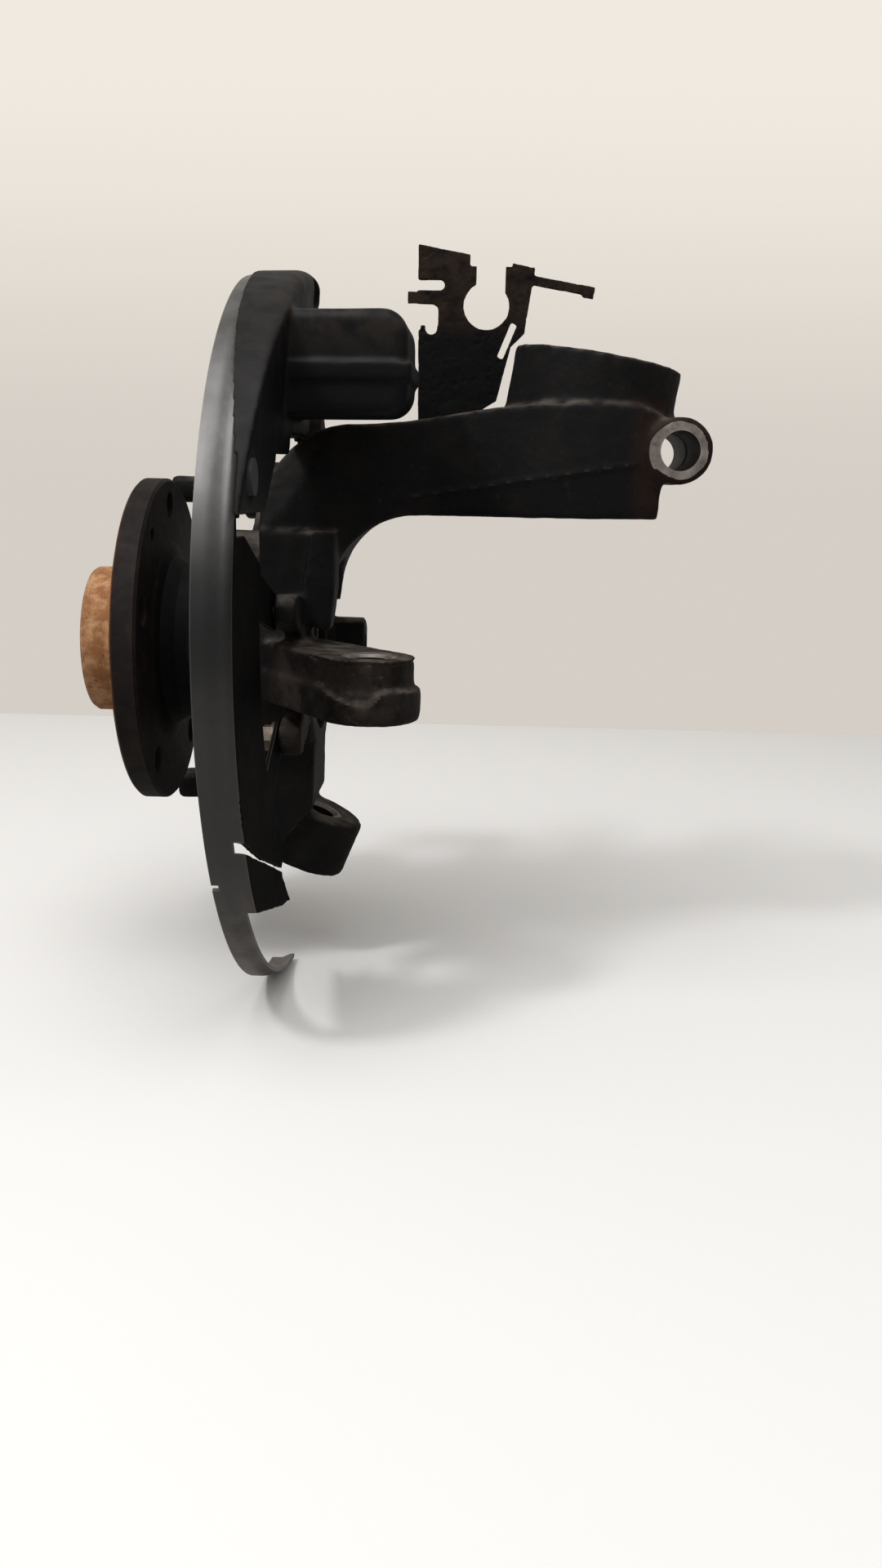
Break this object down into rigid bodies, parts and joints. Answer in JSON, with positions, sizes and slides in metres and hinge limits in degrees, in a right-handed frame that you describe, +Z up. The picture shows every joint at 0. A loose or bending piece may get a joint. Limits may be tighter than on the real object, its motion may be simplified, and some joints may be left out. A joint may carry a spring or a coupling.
{
  "type": "steering knuckle",
  "caption": "Left front steering knuckle of a van: cast arm with strut clamp, tie rod and ball joint lugs, wheel hub on its bearing, dished splash shield, brake air duct and hose bracket.",
  "frame": {"origin": "centre of the wheel bolt circle, on the hub axis in the wheel face of the flange", "axes": "+X inboard along the hub axis, +Y to the front of the vehicle, +Z up"},
  "size_m": [0.2685, 0.2354, 0.3276],
  "materials": {
    "casting": "dark cast skin with dust, machined faces grey",
    "hub_steel": "forged, dark brown, rusty orange on the pilots",
    "bearing_steel": "ground",
    "cage_plastic": "moulded",
    "seal_rubber": "satin",
    "spring_steel": "oiled black",
    "shield_paint": "satin grey-black, dusty and scuffed",
    "duct_plastic": "moulded, dusty",
    "bracket_steel": "thin black paint over brown rust",
    "fastener_steel": "dull zinc, browned"
  },
  "bodies": {
    "knuckle": {"knuckle": "casting", "bearing_outer_ring": "bearing_steel", "seal_outboard": "seal_rubber", "retaining_ring": "spring_steel", "splash_shield": "shield_paint", "air_duct": "duct_plastic", "hose_bracket": "bracket_steel", "bracket_bolt": "fastener_steel", "shield_screw_upper": "fastener_steel", "shield_screw_rear": "fastener_steel", "shield_screw_lower": "fastener_steel", "duct_clip_top": "duct_plastic", "duct_clip_front": "duct_plastic", "duct_clip_tail": "duct_plastic"},
    "hub": {"hub_flange": "hub_steel", "inner_ring_outboard": "bearing_steel", "inner_ring_inboard": "bearing_steel", "seal_inboard": "seal_rubber"},
    "ball_row_outboard": {"balls_outboard": "bearing_steel", "cage_outboard": "cage_plastic"},
    "ball_row_inboard": {"balls_inboard": "bearing_steel", "cage_inboard": "cage_plastic"}
  },
  "joints": [
    {"name": "hub_spin", "type": "hinge", "parent": "knuckle", "child": "hub", "pos_m": [0, 0, 0], "axis": [1, 0, 0], "continuous": true},
    {"name": "row_spin_outboard", "type": "hinge", "parent": "knuckle", "child": "ball_row_outboard", "pos_m": [0, 0, 0], "axis": [1, 0, 0], "continuous": true},
    {"name": "row_spin_inboard", "type": "hinge", "parent": "knuckle", "child": "ball_row_inboard", "pos_m": [0, 0, 0], "axis": [1, 0, 0], "continuous": true}
  ],
  "couplings": [
    {"joint": "row_spin_outboard", "follows": "hub_spin", "ratio": 0.426},
    {"joint": "row_spin_inboard", "follows": "hub_spin", "ratio": 0.426}
  ]
}
